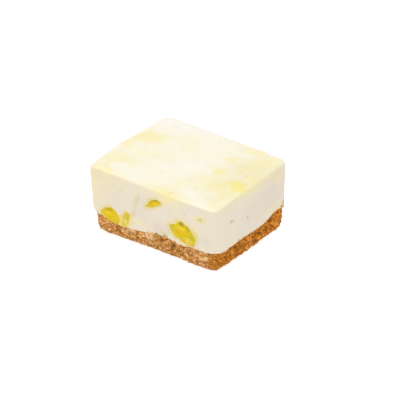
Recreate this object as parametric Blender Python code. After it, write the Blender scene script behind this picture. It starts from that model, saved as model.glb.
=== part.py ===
"""A bar of lemon cheesecake as cut from a tray: a base of pressed biscuit crumbs, a set cream
filling, and ribbons of lemon curd that run through the filling from one long cut face to the
other. X runs along the length, Y from the front cut face to the back one, Z up. The origin
is the middle of the footprint, on the surface that the bar rests on."""

import math

import bmesh
import bpy
from mathutils import Matrix, Vector, noise

MM = 0.001

# Driving sizes of the whole bar
LENGTH = 81.6 * MM
WIDTH = 67.2 * MM
HEIGHT = 37.4 * MM  # at the front rim
BASE_HEIGHT = 11.0 * MM  # of the crumb base, before its uneven places
GAP = 0.3 * MM  # kept between pieces that touch

# How far each corner of the outline stands in from LENGTH x WIDTH, as (in X, in Y).
# The bar widens upwards, so the foot's corners stand in further than the rim's.
RIM_INSETS = {
    (-1, -1): (2.0 * MM, 0.6 * MM),
    (1, -1): (0.8 * MM, 2.4 * MM),
    (1, 1): (1.1 * MM, 1.9 * MM),
    (-1, 1): (0.8 * MM, 0.5 * MM),
}
FOOT_INSETS = {
    (-1, -1): (5.0 * MM, -0.4 * MM),
    (1, -1): (0.9 * MM, 3.6 * MM),
    (1, 1): (0.3 * MM, 4.0 * MM),
    (-1, 1): (2.2 * MM, 2.4 * MM),
}

# Radii of the four upright edges, and of the rims
FILLING_CORNERS = {
    (-1, -1): 2.4 * MM,
    (1, -1): 3.4 * MM,
    (1, 1): 4.5 * MM,
    (-1, 1): 5.0 * MM,
}
BASE_CORNERS = {
    (-1, -1): 6.0 * MM,
    (1, -1): 7.0 * MM,
    (1, 1): 4.5 * MM,
    (-1, 1): 6.5 * MM,
}
TOP_RIM = 1.7 * MM
BASE_RIM = 1.0 * MM
BASE_SHYNESS = 0.25 * MM  # how far the crumb's sides stand in from the filling's

# Where a side of the filling swells, most at its rim: which way is out, the place along the
# side, the reach, and how far the rim stands out there.
RIM_SWELLS = [
    ((0, -1), 15.0 * MM, 19.0 * MM, 1.3 * MM),
    ((-1, 0), -6.0 * MM, 22.0 * MM, 2.2 * MM),
    ((1, 0), 6.0 * MM, 18.0 * MM, 0.5 * MM),
    ((0, 1), -12.0 * MM, 16.0 * MM, 0.4 * MM),
]

# The crumb's uneven top, as (x, y, radius, rise): it dips along the left of the front, swells
# to the right of its middle, and banks up at the corners.
CRUMB_SWELLS = [
    (-38.0 * MM, -33.0 * MM, 6.0 * MM, 2.2 * MM),
    (-19.0 * MM, -32.0 * MM, 14.0 * MM, -2.1 * MM),
    (8.0 * MM, -32.0 * MM, 7.0 * MM, 1.5 * MM),
    (27.0 * MM, -32.0 * MM, 8.0 * MM, 0.5 * MM),
    (39.0 * MM, -31.0 * MM, 5.0 * MM, 1.0 * MM),
    (39.0 * MM, -18.0 * MM, 9.0 * MM, 0.4 * MM),
    (40.0 * MM, 21.5 * MM, 6.5 * MM, 2.4 * MM),
    (-18.0 * MM, 28.0 * MM, 12.0 * MM, 1.6 * MM),
    (-38.0 * MM, 8.0 * MM, 11.0 * MM, 1.2 * MM),
    (14.0 * MM, 31.0 * MM, 10.0 * MM, -1.5 * MM),
]
CRUMB_RIPPLE = 0.35 * MM  # height of the small waves on top of those
CRUMB_RIPPLE_LENGTH = 9.0 * MM
SIDE_WANDER = 0.45 * MM  # how far the crumb's sides wander in and out
SIDE_WANDER_LENGTH = 6.0 * MM
SIDE_WANDER_DEPTH = 0.25  # only the outer share of the crumb, towards its sides, wanders
FOOT_ARCH = 0.9 * MM  # the crumb is crumbled away under the middle of the front edge
FOOT_ARCH_DEPTH = 0.1  # as a share of half the width

# The filling's top rises towards the back and is a little wavy
TOP_TILT = 1.0 * MM
TOP_CROWN = 0.5 * MM
TOP_WAVE = 0.25 * MM
TOP_WAVE_LENGTH = 26.0 * MM

# Faces along X, Y and up, of each piece, and how strongly they crowd towards the edges, from
# 0 for even faces to 1
BASE_CUTS = (22, 18, 4)
FILLING_CUTS = (20, 18, 6)
CROWDING = 0.85
RIBBON_SIDES = 16
RIBBON_STATIONS = 14
RIBBON_OVERRUN = 4.0 * MM  # past each cut face, before it is trimmed flush

# Each ribbon of curd: the middle of its section at the front and back cut faces as (x, z),
# its half width and half height, the slope of its long axis in degrees, how far it swings
# sideways and upwards between the faces, how much thinner it is half way, how much longer its
# section is at the back, and the lobes of its outline as (count, share of the radius, phase).
# The lobes turn by RIBBON_TWIST radians from front to back.
RIBBON_TWIST = 1.5
RIBBONS = {
    "curd_ribbon_left": {
        "front": (-25.0 * MM, 12.6 * MM),
        "back": (-28.0 * MM, 17.0 * MM),
        "half": (5.6 * MM, 4.0 * MM),
        "slope": -6.0,
        "swing": (-2.0 * MM, 1.0 * MM),
        "waist": 0.10,
        "back_growth": 0.15,
        "lobes": [(1, 0.02, 1.0), (3, 0.07, 1.6), (4, 0.04, -0.3)],
    },
    "curd_ribbon_left_tail": {
        "front": (-15.3 * MM, 13.4 * MM),
        "back": (-9.0 * MM, 18.0 * MM),
        "half": (3.8 * MM, 1.6 * MM),
        "slope": 74.0,
        "swing": (1.0 * MM, 2.5 * MM),
        "waist": -0.15,
        "back_growth": 0.40,
        "lobes": [(3, 0.09, -1.9), (4, 0.07, 1.9)],
    },
    "curd_ribbon_middle": {
        "front": (3.0 * MM, 29.4 * MM),
        "back": (8.0 * MM, 25.0 * MM),
        "half": (4.8 * MM, 1.5 * MM),
        "slope": 30.0,
        "swing": (-6.0 * MM, -2.2 * MM),
        "waist": -0.15,
        "back_growth": 0.35,
        "lobes": [(1, 0.10, -1.9), (3, 0.16, 1.6)],
    },
    "curd_ribbon_right": {
        "front": (20.0 * MM, 18.6 * MM),
        "back": (22.0 * MM, 20.5 * MM),
        "half": (7.4 * MM, 5.4 * MM),
        "slope": -30.0,
        "swing": (4.5 * MM, -1.2 * MM),
        "waist": 0.15,
        "back_growth": 0.05,
        "lobes": [(1, 0.06, -1.1), (2, 0.08, -1.5), (3, 0.12, 0.5), (4, 0.05, -2.6)],
    },
}

# Colour, roughness of each stuff
CRUMB_LOOK = ((0.53, 0.25, 0.06, 1.0), 0.85)
CREAM_LOOK = ((0.95, 0.90, 0.75, 1.0), 0.42)
CURD_LOOK = ((0.75, 0.55, 0.03, 1.0), 0.22)


def clear_scene():
    for thing in list(bpy.data.objects):
        bpy.data.objects.remove(thing)


def make_collection(name):
    collection = bpy.data.collections.new(name)
    bpy.context.scene.collection.children.link(collection)
    return collection


def make_material(name, look):
    colour, roughness = look
    material = bpy.data.materials.new(name)
    material.use_nodes = True
    shader = material.node_tree.nodes["Principled BSDF"]
    shader.inputs["Base Color"].default_value = colour
    shader.inputs["Roughness"].default_value = roughness
    shader.inputs["Metallic"].default_value = 0.0
    material.diffuse_color = colour
    return material


def mix(a, b, share):
    return a + (b - a) * share


def across(values, x, y):
    """Blends four values, one for each corner of the bar, at the place x, y."""
    right = min(max(x / LENGTH + 0.5, 0.0), 1.0)
    back = min(max(y / WIDTH + 0.5, 0.0), 1.0)
    front_value = mix(values[-1, -1], values[1, -1], right)
    back_value = mix(values[-1, 1], values[1, 1], right)
    return mix(front_value, back_value, back)


def crumb_top(x, y):
    """Height of the crumb base's uneven top at x, y."""
    height = BASE_HEIGHT
    for swell_x, swell_y, radius, rise in CRUMB_SWELLS:
        distance = math.hypot(x - swell_x, y - swell_y) / radius
        height += rise * math.exp(-distance * distance)
    place = Vector((x, y, 0.0)) / CRUMB_RIPPLE_LENGTH
    return height + CRUMB_RIPPLE * noise.noise(place)


def cream_top(x, y):
    """Height of the filling's top at x, y."""
    back = 2.0 * y / WIDTH
    fall = (2.0 * x / LENGTH) ** 2 + back**2
    wave = noise.noise(Vector((x, y, HEIGHT)) / TOP_WAVE_LENGTH)
    tilt = TOP_TILT * (1.0 + back) / 2
    return HEIGHT + tilt + TOP_CROWN * (1.0 - fall / 2) + TOP_WAVE * wave


def onto_outline(x, y, z, shyness=0.0):
    """Carries x, y from the upright box LENGTH x WIDTH to the bar's own outline at height z,
    or to that outline drawn in by shyness."""
    rise = z / HEIGHT
    inset_x, inset_y = (
        shyness
        + mix(
            across({corner: value[axis] for corner, value in FOOT_INSETS.items()}, x, y),
            across({corner: value[axis] for corner, value in RIM_INSETS.items()}, x, y),
            rise,
        )
        for axis in (0, 1)
    )
    new_x = x * (1.0 - 2.0 * inset_x / LENGTH)
    new_y = y * (1.0 - 2.0 * inset_y / WIDTH)
    for (out_x, out_y), middle, reach, swell in RIM_SWELLS:
        towards = 2.0 * max(0.0, out_x * x / LENGTH + out_y * y / WIDTH)
        away = ((x if out_y else y) - middle) / reach
        push = swell * rise * towards**3 * math.exp(-away * away)
        new_x += out_x * push
        new_y += out_y * push
    return new_x, new_y


def round_edges(point, low, high, corner, rim):
    """Moves a point of a box's surface onto the same box with rounded edges: the upright ones
    to the radius corner, and the top ones, or for a negative rim the bottom ones, to rim."""
    core = Vector(
        (
            min(max(point.x, corner - LENGTH / 2), LENGTH / 2 - corner),
            min(max(point.y, corner - WIDTH / 2), WIDTH / 2 - corner),
            min(point.z, high - rim) if rim > 0 else max(point.z, low - rim),
        )
    )
    radii = Vector((corner, corner, abs(rim)))
    reach = Vector([out / radius for out, radius in zip(point - core, radii)])
    longest = max(abs(share) for share in reach)
    if longest > 0.0:
        reach *= longest / reach.length
    return core + reach * radii


def crowd(share):
    """Spreads evenly spaced cuts from -1 to 1 so that they crowd towards the two ends."""
    return mix(share, math.sin(math.pi / 2 * share), CROWDING)


def cut_cube(cuts):
    """A cube from -1 to 1, cut into faces along X, Y and up."""
    mesh = bmesh.new()
    bmesh.ops.create_cube(mesh, size=2.0)
    for axis, count in enumerate(cuts):
        for step in range(1, count):
            place = [0.0, 0.0, 0.0]
            place[axis] = 2.0 * step / count - 1.0
            normal = [0.0, 0.0, 0.0]
            normal[axis] = 1.0
            everything = mesh.verts[:] + mesh.edges[:] + mesh.faces[:]
            bmesh.ops.bisect_plane(
                mesh, geom=everything, plane_co=place, plane_no=normal, dist=1e-6
            )
    return mesh


def add_object(name, mesh, collection, material=None):
    data = bpy.data.meshes.new(name)
    mesh.to_mesh(data)
    mesh.free()
    thing = bpy.data.objects.new(name, data)
    collection.objects.link(thing)
    if material:
        data.materials.append(material)
    return thing


def make_base(collection, material):
    """The crumb slab: flat underneath, uneven on top, with wandering sides."""
    mesh = cut_cube(BASE_CUTS)
    for vertex in mesh.verts:
        x = crowd(vertex.co.x) * LENGTH / 2
        y = crowd(vertex.co.y) * WIDTH / 2
        z = (vertex.co.z + 1.0) / 2 * BASE_HEIGHT
        corner = across(BASE_CORNERS, x, y)
        place = round_edges(Vector((x, y, z)), 0.0, BASE_HEIGHT, corner, -BASE_RIM)
        up = place.z / BASE_HEIGHT
        side = max(abs(2.0 * place.x / LENGTH), abs(2.0 * place.y / WIDTH))
        side = max(0.0, 1.0 - (1.0 - side) / SIDE_WANDER_DEPTH)
        front = max(0.0, 1.0 - (1.0 + 2.0 * place.y / WIDTH) / FOOT_ARCH_DEPTH)
        x, y = onto_outline(place.x, place.y, place.z, BASE_SHYNESS)
        wander = noise.noise(Vector((x, y, 2.0 * place.z)) / SIDE_WANDER_LENGTH)
        outward = 1.0 + side * SIDE_WANDER * wander / (WIDTH / 2)
        x, y = x * outward, y * outward
        arch = FOOT_ARCH * front * math.cos(math.pi * x / LENGTH) ** 2
        vertex.co = (x, y, mix(arch, crumb_top(x, y), up))
    return add_object("biscuit_base", mesh, collection, material)


def make_filling_body(name, collection, material=None):
    """The filling before the ribbons are cut out of it, GAP above the crumb."""
    mesh = cut_cube(FILLING_CUTS)
    for vertex in mesh.verts:
        x = crowd(vertex.co.x) * LENGTH / 2
        y = crowd(vertex.co.y) * WIDTH / 2
        up = math.sin(math.pi / 2 * (vertex.co.z + 1.0) / 2)
        z = mix(BASE_HEIGHT, HEIGHT, up)
        corner = across(FILLING_CORNERS, x, y)
        place = round_edges(Vector((x, y, z)), BASE_HEIGHT, HEIGHT, corner, TOP_RIM)
        up = (place.z - BASE_HEIGHT) / (HEIGHT - BASE_HEIGHT)
        x, y = onto_outline(place.x, place.y, place.z)
        vertex.co = (x, y, mix(crumb_top(x, y) + GAP, cream_top(x, y), up))
    return add_object(name, mesh, collection, material)


def make_ribbon(name, shape, collection, grow=0.0, material=None):
    """A ribbon of curd along Y, thicker all round by grow, before it is trimmed."""
    mesh = bmesh.new()
    length = WIDTH + 2 * RIBBON_OVERRUN
    bmesh.ops.create_cone(
        mesh,
        cap_ends=True,
        segments=RIBBON_SIDES,
        radius1=1.0,
        radius2=1.0,
        depth=length,
        matrix=Matrix.Rotation(math.pi / 2, 4, "X"),
    )
    for step in range(1, RIBBON_STATIONS):
        bmesh.ops.bisect_plane(
            mesh,
            geom=mesh.verts[:] + mesh.edges[:] + mesh.faces[:],
            plane_co=(0.0, length * (step / RIBBON_STATIONS - 0.5), 0.0),
            plane_no=(0.0, 1.0, 0.0),
            dist=1e-6,
        )
    slope = Matrix.Rotation(math.radians(shape["slope"]), 2)
    for vertex in mesh.verts:
        along = vertex.co.y / WIDTH + 0.5
        bulge = math.sin(math.pi * min(max(along, 0.0), 1.0))
        angle = math.atan2(vertex.co.z, vertex.co.x)
        outline = 1.0 + sum(
            share * math.cos(count * angle + phase + along * RIBBON_TWIST)
            for count, share, phase in shape["lobes"]
        )
        size = outline * (1.0 - shape["waist"] * bulge)
        stretch = 1.0 + shape["back_growth"] * along
        section = slope @ Vector(
            (
                math.cos(angle) * (shape["half"][0] * size * stretch + grow),
                math.sin(angle) * (shape["half"][1] * size + grow),
            )
        )
        middle_x = mix(shape["front"][0], shape["back"][0], along)
        middle_z = mix(shape["front"][1], shape["back"][1], along)
        vertex.co.x = middle_x + shape["swing"][0] * bulge + section.x
        vertex.co.z = middle_z + shape["swing"][1] * bulge + section.y
    return add_object(name, mesh, collection, material)


def hide_helper(thing):
    thing.hide_render = True
    thing.display_type = "WIRE"
    return thing


def use_boolean(thing, tool, operation):
    modifier = thing.modifiers.new(f"{operation.lower()} {tool.name}", "BOOLEAN")
    modifier.operation = operation
    modifier.object = tool
    modifier.solver = "EXACT"


def main():
    clear_scene()
    bar = make_collection("lemon_cheesecake_bar")
    helpers = make_collection("helpers")
    crumb = make_material("biscuit_crumb", CRUMB_LOOK)
    cream = make_material("cheesecake_cream", CREAM_LOOK)
    curd = make_material("lemon_curd", CURD_LOOK)

    make_base(bar, crumb)
    body = hide_helper(make_filling_body("uncut_filling", helpers))
    filling = make_filling_body("cheesecake_filling", bar, cream)
    for name, shape in RIBBONS.items():
        ribbon = make_ribbon(name, shape, bar, material=curd)
        use_boolean(ribbon, body, "INTERSECT")
        channel = hide_helper(make_ribbon(f"{name}_channel", shape, helpers, GAP))
        use_boolean(filling, channel, "DIFFERENCE")


main()
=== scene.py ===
import math
import random

import bpy
import numpy as np
from mathutils import Euler, Matrix, Vector, noise
from mathutils.bvhtree import BVHTree
from mathutils.kdtree import KDTree


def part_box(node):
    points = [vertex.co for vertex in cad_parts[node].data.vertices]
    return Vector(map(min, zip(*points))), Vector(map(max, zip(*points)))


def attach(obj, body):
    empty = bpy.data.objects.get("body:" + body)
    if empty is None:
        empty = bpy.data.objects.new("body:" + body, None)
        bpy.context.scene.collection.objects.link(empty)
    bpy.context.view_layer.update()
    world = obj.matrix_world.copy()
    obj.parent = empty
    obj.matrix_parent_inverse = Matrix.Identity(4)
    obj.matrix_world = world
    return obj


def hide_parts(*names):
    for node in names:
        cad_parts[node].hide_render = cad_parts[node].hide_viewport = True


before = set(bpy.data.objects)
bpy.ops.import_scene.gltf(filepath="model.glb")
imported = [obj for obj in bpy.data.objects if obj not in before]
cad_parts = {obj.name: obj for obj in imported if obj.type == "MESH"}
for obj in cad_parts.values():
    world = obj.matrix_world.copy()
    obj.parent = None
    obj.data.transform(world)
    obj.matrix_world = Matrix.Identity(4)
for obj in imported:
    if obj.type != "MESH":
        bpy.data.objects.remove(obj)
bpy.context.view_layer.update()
mm = 0.001
body = "root"
noise.seed_set(5)  # else the clock seeds noise_vector
print("frame loaded")


def pickOnly(piece):
    bpy.ops.object.select_all(action="DESELECT")
    piece.select_set(True)
    bpy.context.view_layer.objects.active = piece


def applyModifier(piece, kind, **settings):
    pickOnly(piece)
    modifier = piece.modifiers.new(kind.lower(), kind)
    for key, value in settings.items():
        setattr(modifier, key, value)
    bpy.ops.object.modifier_apply(modifier=modifier.name)


def copyNode(node, name):
    # a copy of a solid, its loose triangles merged
    piece = bpy.data.objects.new(name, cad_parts[node].data.copy())
    piece.data.name = name
    bpy.context.scene.collection.objects.link(piece)
    pickOnly(piece)
    bpy.ops.object.mode_set(mode="EDIT")
    bpy.ops.mesh.select_all(action="SELECT")
    bpy.ops.mesh.remove_doubles(threshold=0.001 * mm)
    bpy.ops.object.mode_set(mode="OBJECT")
    return piece


def softCopy(node, name, values):
    # a copy with small even faces, for the relief
    piece = copyNode(node, name)
    applyModifier(piece, "REMESH", mode="VOXEL", voxel_size=values["voxel"])
    applyModifier(piece, "SMOOTH", factor=0.5, iterations=values["smoothing"])
    return piece


def readPoints(piece):
    points = np.empty(len(piece.data.vertices) * 3)
    piece.data.vertices.foreach_get("co", points)
    return points.reshape(-1, 3)


def readNormals(piece):
    normals = np.empty(len(piece.data.vertices) * 3)
    piece.data.vertex_normals.foreach_get("vector", normals)
    return normals.reshape(-1, 3)


def writePoints(piece, points):
    piece.data.vertices.foreach_set("co", points.ravel())
    piece.data.update()


def writeAttribute(piece, name, values):
    attribute = piece.data.attributes.new(name, "FLOAT", "POINT")
    attribute.data.foreach_set("value", np.asarray(values, dtype=np.float32))


def relief(points, kind, share=1.0):
    # its size is one number, or one for each axis
    scaled = points / kind["size"] + kind["place"]
    return share * kind["height"] * np.array([noise.noise(Vector(point)) for point in scaled])


def smooth(values, low, high):
    share = np.clip((values - low) / (high - low), 0.0, 1.0)
    return share * share * (3.0 - 2.0 * share)


def stirred(points, size, reach):
    # the places shaken by a slow noise, so that soft patches get wandering edges
    moves = [
        noise.noise_vector(place) + 0.5 * noise.noise_vector(2.0 * place)
        for place in map(Vector, points / size)
    ]
    return points + reach * np.array(moves)


def patchesAt(points, items):
    # soft patches, each 1 at its middle and 0 past its edge, times its strength
    total = np.zeros(len(points))
    for middle, radii, strength, *turns in items:
        turn, lean = (*turns, 0.0, 0.0)[:2]
        axes = Euler((0.0, math.radians(lean), math.radians(turn))).to_matrix()
        away = (points / mm - middle) @ np.array(axes) / radii
        total += strength * smooth(np.linalg.norm(away, axis=1), 1.0, 0.0)
    return total


def writePatches(piece, points, patches, wander):
    places = stirred(points, **wander)
    for name, items in patches.items():
        writeAttribute(piece, name, patchesAt(places, items))


def deepInside(points, left, right, front, back, above):
    # the points that lie deeper than this behind each side
    low, high = points.min(axis=0), points.max(axis=0)
    deep = (points[:, 0] > low[0] + left) & (points[:, 0] < high[0] - right)
    deep &= (points[:, 1] > low[1] + front) & (points[:, 1] < high[1] - back)
    return deep & (points[:, 2] <= high[2] - above)


def applyToPart(piece, chosen, kind, **settings):
    group = piece.vertex_groups.new(name="chosen")
    group.add([int(k) for k in np.flatnonzero(chosen)], 1.0, "REPLACE")
    applyModifier(piece, kind, vertex_group="chosen", **settings)
    piece.vertex_groups.clear()


def thinOut(piece, hidden, keep):
    applyToPart(piece, hidden, "DECIMATE", ratio=1.0 - float(hidden.mean()) * (1.0 - keep))


def treeOf(mesh, mostAlongY=2.0):
    # a surface to measure from, without the faces that look along Y more than this
    points = [v.co.copy() for v in mesh.vertices]
    faces = [tuple(p.vertices) for p in mesh.polygons if abs(p.normal.y) < mostAlongY]
    return BVHTree.FromPolygons(points, faces)


def wallTree(node):
    # the sides of a ribbon's solid, without its two ends
    piece = copyNode(node, "wall")
    tree = treeOf(piece.data, 0.75)
    bpy.data.objects.remove(piece)
    return tree


def nearestOn(tree, points, most):
    # how far each point is from a surface, up to most, and the way there as seen along Y
    distance, way = np.full(len(points), most), np.zeros((len(points), 3))
    for k, point in enumerate(points):
        place, _, _, near = tree.find_nearest(Vector(point), most)
        if place is not None:
            step = (place.x - point[0], 0.0, place.z - point[2])
            distance[k] = near
            way[k] = Vector(step).normalized()
    return distance, way


def mostlySmall(chance, small, large):
    return small + (large - small) * chance.random() ** 2


def toneFrom(chance, mean, spread):
    return min(max(chance.gauss(mean, spread), 0.0), 1.0)


def pits(points, onSide, values):
    # little bowls sunk at random places of the sides: how deep they make each point
    chance = random.Random(values["seed"])
    tree = KDTree(len(points))
    for k, point in enumerate(points):
        tree.insert(point, k)
    tree.balance()
    chosen = chance.sample([int(k) for k in np.flatnonzero(onSide > 0.8)], values["count"])
    depth = np.zeros(len(points))
    for k in chosen:
        radius = mostlySmall(chance, *values["radius"])
        for _, index, distance in tree.find_range(points[k], radius):
            bowl = 1.0 - (distance / radius) ** 2
            depth[index] = max(depth[index], radius * values["depth"] * bowl * bowl)
    return depth


def joinLumps(name, lumps):
    # one piece made of many small lumps, each given as its points, its faces and its tone
    points = np.concatenate([own for own, _, _ in lumps])
    starts = np.cumsum([0] + [len(own) for own, _, _ in lumps])
    faces = np.concatenate([own + start for (_, own, _), start in zip(lumps, starts)])
    mesh = bpy.data.meshes.new(name)
    mesh.from_pydata(points.tolist(), [], faces.tolist())
    piece = bpy.data.objects.new(name, mesh)
    bpy.context.scene.collection.objects.link(piece)
    writeAttribute(piece, "tone", np.concatenate([np.full(len(own), tone) for own, _, tone in lumps]))
    return piece


def finishPiece(piece, nodes, material):
    piece.data.materials.clear()
    piece.data.materials.append(material)
    pickOnly(piece)
    bpy.ops.object.shade_smooth()
    if nodes:
        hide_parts(*nodes)
    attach(piece, body)


class Wire:
    # a socket that can stand in a sum

    def __init__(self, paint, socket):
        self.paint = paint
        self.socket = socket

    def math(self, operation, first, second):
        return self.paint.node("ShaderNodeMath", {"operation": operation}, {0: first, 1: second})

    def __add__(self, other):
        return self.math("ADD", self, other)

    def __radd__(self, other):
        return self.math("ADD", other, self)

    def __sub__(self, other):
        return self.math("SUBTRACT", self, other)

    def __rsub__(self, other):
        return self.math("SUBTRACT", other, self)

    def __mul__(self, other):
        return self.math("MULTIPLY", self, other)

    def __rmul__(self, other):
        return self.math("MULTIPLY", other, self)

    def __abs__(self):
        return self.math("ABSOLUTE", self, 0.0)


class Paint:
    # one material and the nodes that colour it

    def __init__(self, name):
        self.material = bpy.data.materials.new(name)
        self.material.use_nodes = True
        self.tree = self.material.node_tree
        self.shader = self.tree.nodes["Principled BSDF"]
        self.place = self.node("ShaderNodeTexCoord", output="Object")

    def node(self, kind, settings=None, inputs=None, output=0):
        made = self.tree.nodes.new(kind)
        for key, value in (settings or {}).items():
            if key == "stops":
                ramp = made.color_ramp.elements
                while len(ramp) < len(value):
                    ramp.new(0.5)
                for element, (at, colour) in zip(ramp, value):
                    element.position = at
                    element.color = colour
            else:
                setattr(made, key, value)
        for key, value in (inputs or {}).items():
            if isinstance(value, Wire):
                self.tree.links.new(value.socket, made.inputs[key])
            else:
                made.inputs[key].default_value = value
        return Wire(self, made.outputs[output])

    def noise(self, scale, detail, distortion=0.0, place=None):
        inputs = {"Vector": place or self.place, "Scale": scale, "Detail": detail, "Distortion": distortion}
        return self.node("ShaderNodeTexNoise", inputs=inputs)

    def noises(self, kinds):
        return [self.noise(*numbers) for numbers in kinds.values()]

    def stretched(self, scale, degrees=(0.0, 0.0, 0.0)):
        turn = [math.radians(angle) for angle in degrees]
        inputs = {"Vector": self.place, "Rotation": turn, "Scale": scale}
        return self.node("ShaderNodeMapping", inputs=inputs)

    def attribute(self, name):
        return self.node("ShaderNodeAttribute", {"attribute_name": name}, output="Fac")

    def step(self, value, low, high, most=1.0):
        inputs = {"Value": value, "From Min": low, "From Max": high, "To Max": most}
        return self.node("ShaderNodeMapRange", {"interpolation_type": "SMOOTHSTEP"}, inputs)

    def ramp(self, value, stops):
        stops = [(at, (*colour, 1.0)) for at, colour in stops]
        return self.node("ShaderNodeValToRGB", {"stops": stops}, {"Fac": value})

    def mix(self, mask, under, over, blend="MIX"):
        colours = [c if isinstance(c, Wire) else (*c, 1.0) for c in (under, over)]
        inputs = {0: mask, 6: colours[0], 7: colours[1]}
        return self.node("ShaderNodeMix", {"data_type": "RGBA", "blend_type": blend}, inputs, 2)

    def layers(self, colour, values, masks):
        # one colour after the other laid over the first, each as far as its mask goes
        for name, mask in masks:
            colour = self.mix(mask, colour, values[name])
        return colour

    def bump(self, height, distance, strength, under=None):
        inputs = {"Height": height, "Distance": distance, "Strength": strength}
        if under:
            inputs["Normal"] = under
        return self.node("ShaderNodeBump", inputs=inputs)

    def finish(self, colour, roughness, normal=None, **constants):
        for socket, value in (("Base Color", colour), ("Roughness", roughness), ("Normal", normal)):
            if isinstance(value, Wire):
                self.tree.links.new(value.socket, self.shader.inputs[socket])
            elif value is not None:
                self.shader.inputs[socket].default_value = value
        for key, value in constants.items():
            self.shader.inputs[key.replace("_", " ")].default_value = value
        return self.material


cream = {
    "voxel": 0.42 * mm, "smoothing": 5,
    "rimSmoothing": 26, "rimReach": 4.5 * mm,  # the soft rims of the top
    # how deep behind each side nothing shows
    "hidden": {"left": 7 * mm, "right": 4 * mm, "front": 4.5 * mm, "back": 5 * mm, "above": 4 * mm},
    "hiddenKept": 0.08,  # share of the faces that stay there
    "topSlope": (0.2, 0.95), "sideSlope": (0.5, 0.25),  # how far up the top looks, and the sides
    "swell": {"height": 0.30 * mm, "size": 13.0 * mm, "place": 3.1},  # slow unevenness
    "strokes": {"height": 0.12 * mm, "size": (18.0 * mm, 3.4 * mm, 30.0 * mm), "place": 7.7},
    "strokesTurn": 32.0,  # their way over the top, in degrees from X
    "drag": {"height": 0.07 * mm, "size": (1.3 * mm, 1.3 * mm, 22.0 * mm), "place": 1.9},  # knife marks
    "grain": {"height": 0.05 * mm, "size": 1.5 * mm, "place": 5.3},
    "pits": {"count": 120, "radius": (0.45 * mm, 0.95 * mm), "depth": 0.45, "seed": 11},  # air bubbles
    "raggedReach": 2.0 * mm, "raggedWhole": 0.2 * mm,  # from the pocket's wall
    "ragged": [
        {"height": 0.80 * mm, "size": 2.8 * mm, "place": 11.0},
        {"height": 0.22 * mm, "size": 1.4 * mm, "place": 23.0},
    ],
    "opened": [  # where the rims lean in less, or more: middle and radii in mm, then how much
        ((13.4, -33, 20.6), (3.6, 9, 3.4), 1.3 * mm),
        ((16.6, -33, 16.2), (3.8, 9, 3), 1.5 * mm),
        ((20.8, -33, 14.6), (4, 9, 2.8), 1.9 * mm),
        ((25, -33, 13.8), (3.6, 9, 2.4), 1.6 * mm),
        ((19, -33, 26), (3.4, 9, 2.4), 0.5 * mm),
        ((27.8, -33, 20), (3, 9, 6), -0.5 * mm),
        ((-25, -33, 9.6), (7, 9, 2.4), 1.3 * mm),
        ((-18, -33, 12), (3, 9, 4), 0.6 * mm),
        ((-0.8, -33, 29), (2, 9, 2.2), -0.5 * mm),
        ((4.4, -33, 32.6), (4, 9, 1.6), 0.4 * mm),
    ],
    "mostOpened": 1.3 * mm,
    "footDrop": 0.90 * mm,  # the lower rim sits down into the crumb
    "litRimBand": (3.2 * mm, 0.3 * mm), "litRimShare": 0.4,  # painted light: the top's lighter colour carried over the upper sides, as on rims lit from above
    "haloReach": 3.2 * mm,  # how far from a pocket the cream is yellow
    "smearReach": 1.6 * mm,  # how far above the crumb it is soiled
    "wander": {"size": 7.7 * mm, "reach": 3.0 * mm},  # of the edges of the wide patches
    "closeWander": {"size": 2.4 * mm, "reach": 1.0 * mm},  # and of the small ones
    "colour": (0.90, 0.852, 0.700),
    # painted shade: the cut faces are set darker than the top because the sides get less light; the cut
    # cream is also a little pinker
    "shadedCutColour": (0.757, 0.676, 0.560),
    "creamyCut": (0.757, 0.680, 0.520),
    # plain cream, also laid on as painted highlight along the back and left rims
    "white": (0.90, 0.865, 0.790),
    "yellow": (0.88, 0.775, 0.27),
    "dull": (0.80, 0.715, 0.36),  # where more lemon has gone in
    "shade": (0.65, 0.56, 0.50),
    "vein": (0.67, 0.59, 0.34),
    "halo": (0.745, 0.580, 0.130),
    "stain": (0.80, 0.62, 0.12),
    "crumbStain": (0.62, 0.41, 0.17),
    "fleck": (0.72, 0.60, 0.34),
    "streaks": ((90, 190, 150), (0, 0, -32)),  # scale, and the turn in degrees
    "marks": (1400, 1400, 60),  # of the knife, from top to bottom
    "noises": {  # scale, detail and distortion
        "blotches": (330.0, 2.0, 0.5), "mottle": (230.0, 3.0, 0.4),
        "rough": (620.0, 3.0), "flecks": (900.0, 1.0), "fine": (1900.0, 2.0),
    },
    "bumps": {"fine": (0.05 * mm, 0.5), "marks": (0.03 * mm, 0.5)},  # height and strength
    "finish": {
        "Subsurface_Weight": 0.3, "Subsurface_Scale": 1.6 * mm, "Subsurface_Radius": (1.0, 0.8, 0.45),
        "Coat_Weight": 0.04, "Coat_Roughness": 0.3,
    },
    "steps": {  # where each mask begins, where it is whole, and how much it then covers
        "streaks": (0.32, 0.66, 0.45), "blotches": (0.35, 0.65, 0.30),
        "creamyCut": (0.35, 0.65), "white": (0.0, 0.9),
        "vein": (0.3, 0.7, 0.9), "halo": (1.05, 2.10, 0.8),
        "nearCurd": (1.02, 1.22, 0.8), "stain": (0.55, 1.25, 0.95),
        "crumbStain": (0.95, 1.5, 0.6), "fleck": (0.70, 0.78, 0.12),
    },
}
# For each ribbon of curd: its piece, how far the pocket's rim leans over it and how ragged that
# rim is, and how far the curd lies behind the cut face, at the top and below.
ribbons = {
    "curd_ribbon_left": ("curdLeft", (0.40 * mm, 0.9), (0.50 * mm, 0.15 * mm)),
    "curd_ribbon_left_tail": ("curdLeftTail", (0.25 * mm, 0.6), (0.20 * mm, 0.10 * mm)),
    "curd_ribbon_middle": ("curdMiddle", (0.25 * mm, 0.35), (0.45 * mm, 0.20 * mm)),
    "curd_ribbon_right": ("curdRight", (0.65 * mm, 0.65), (0.70 * mm, 0.15 * mm)),
}
ribbonWalls = {node: wallTree(node) for node in ribbons}

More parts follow.
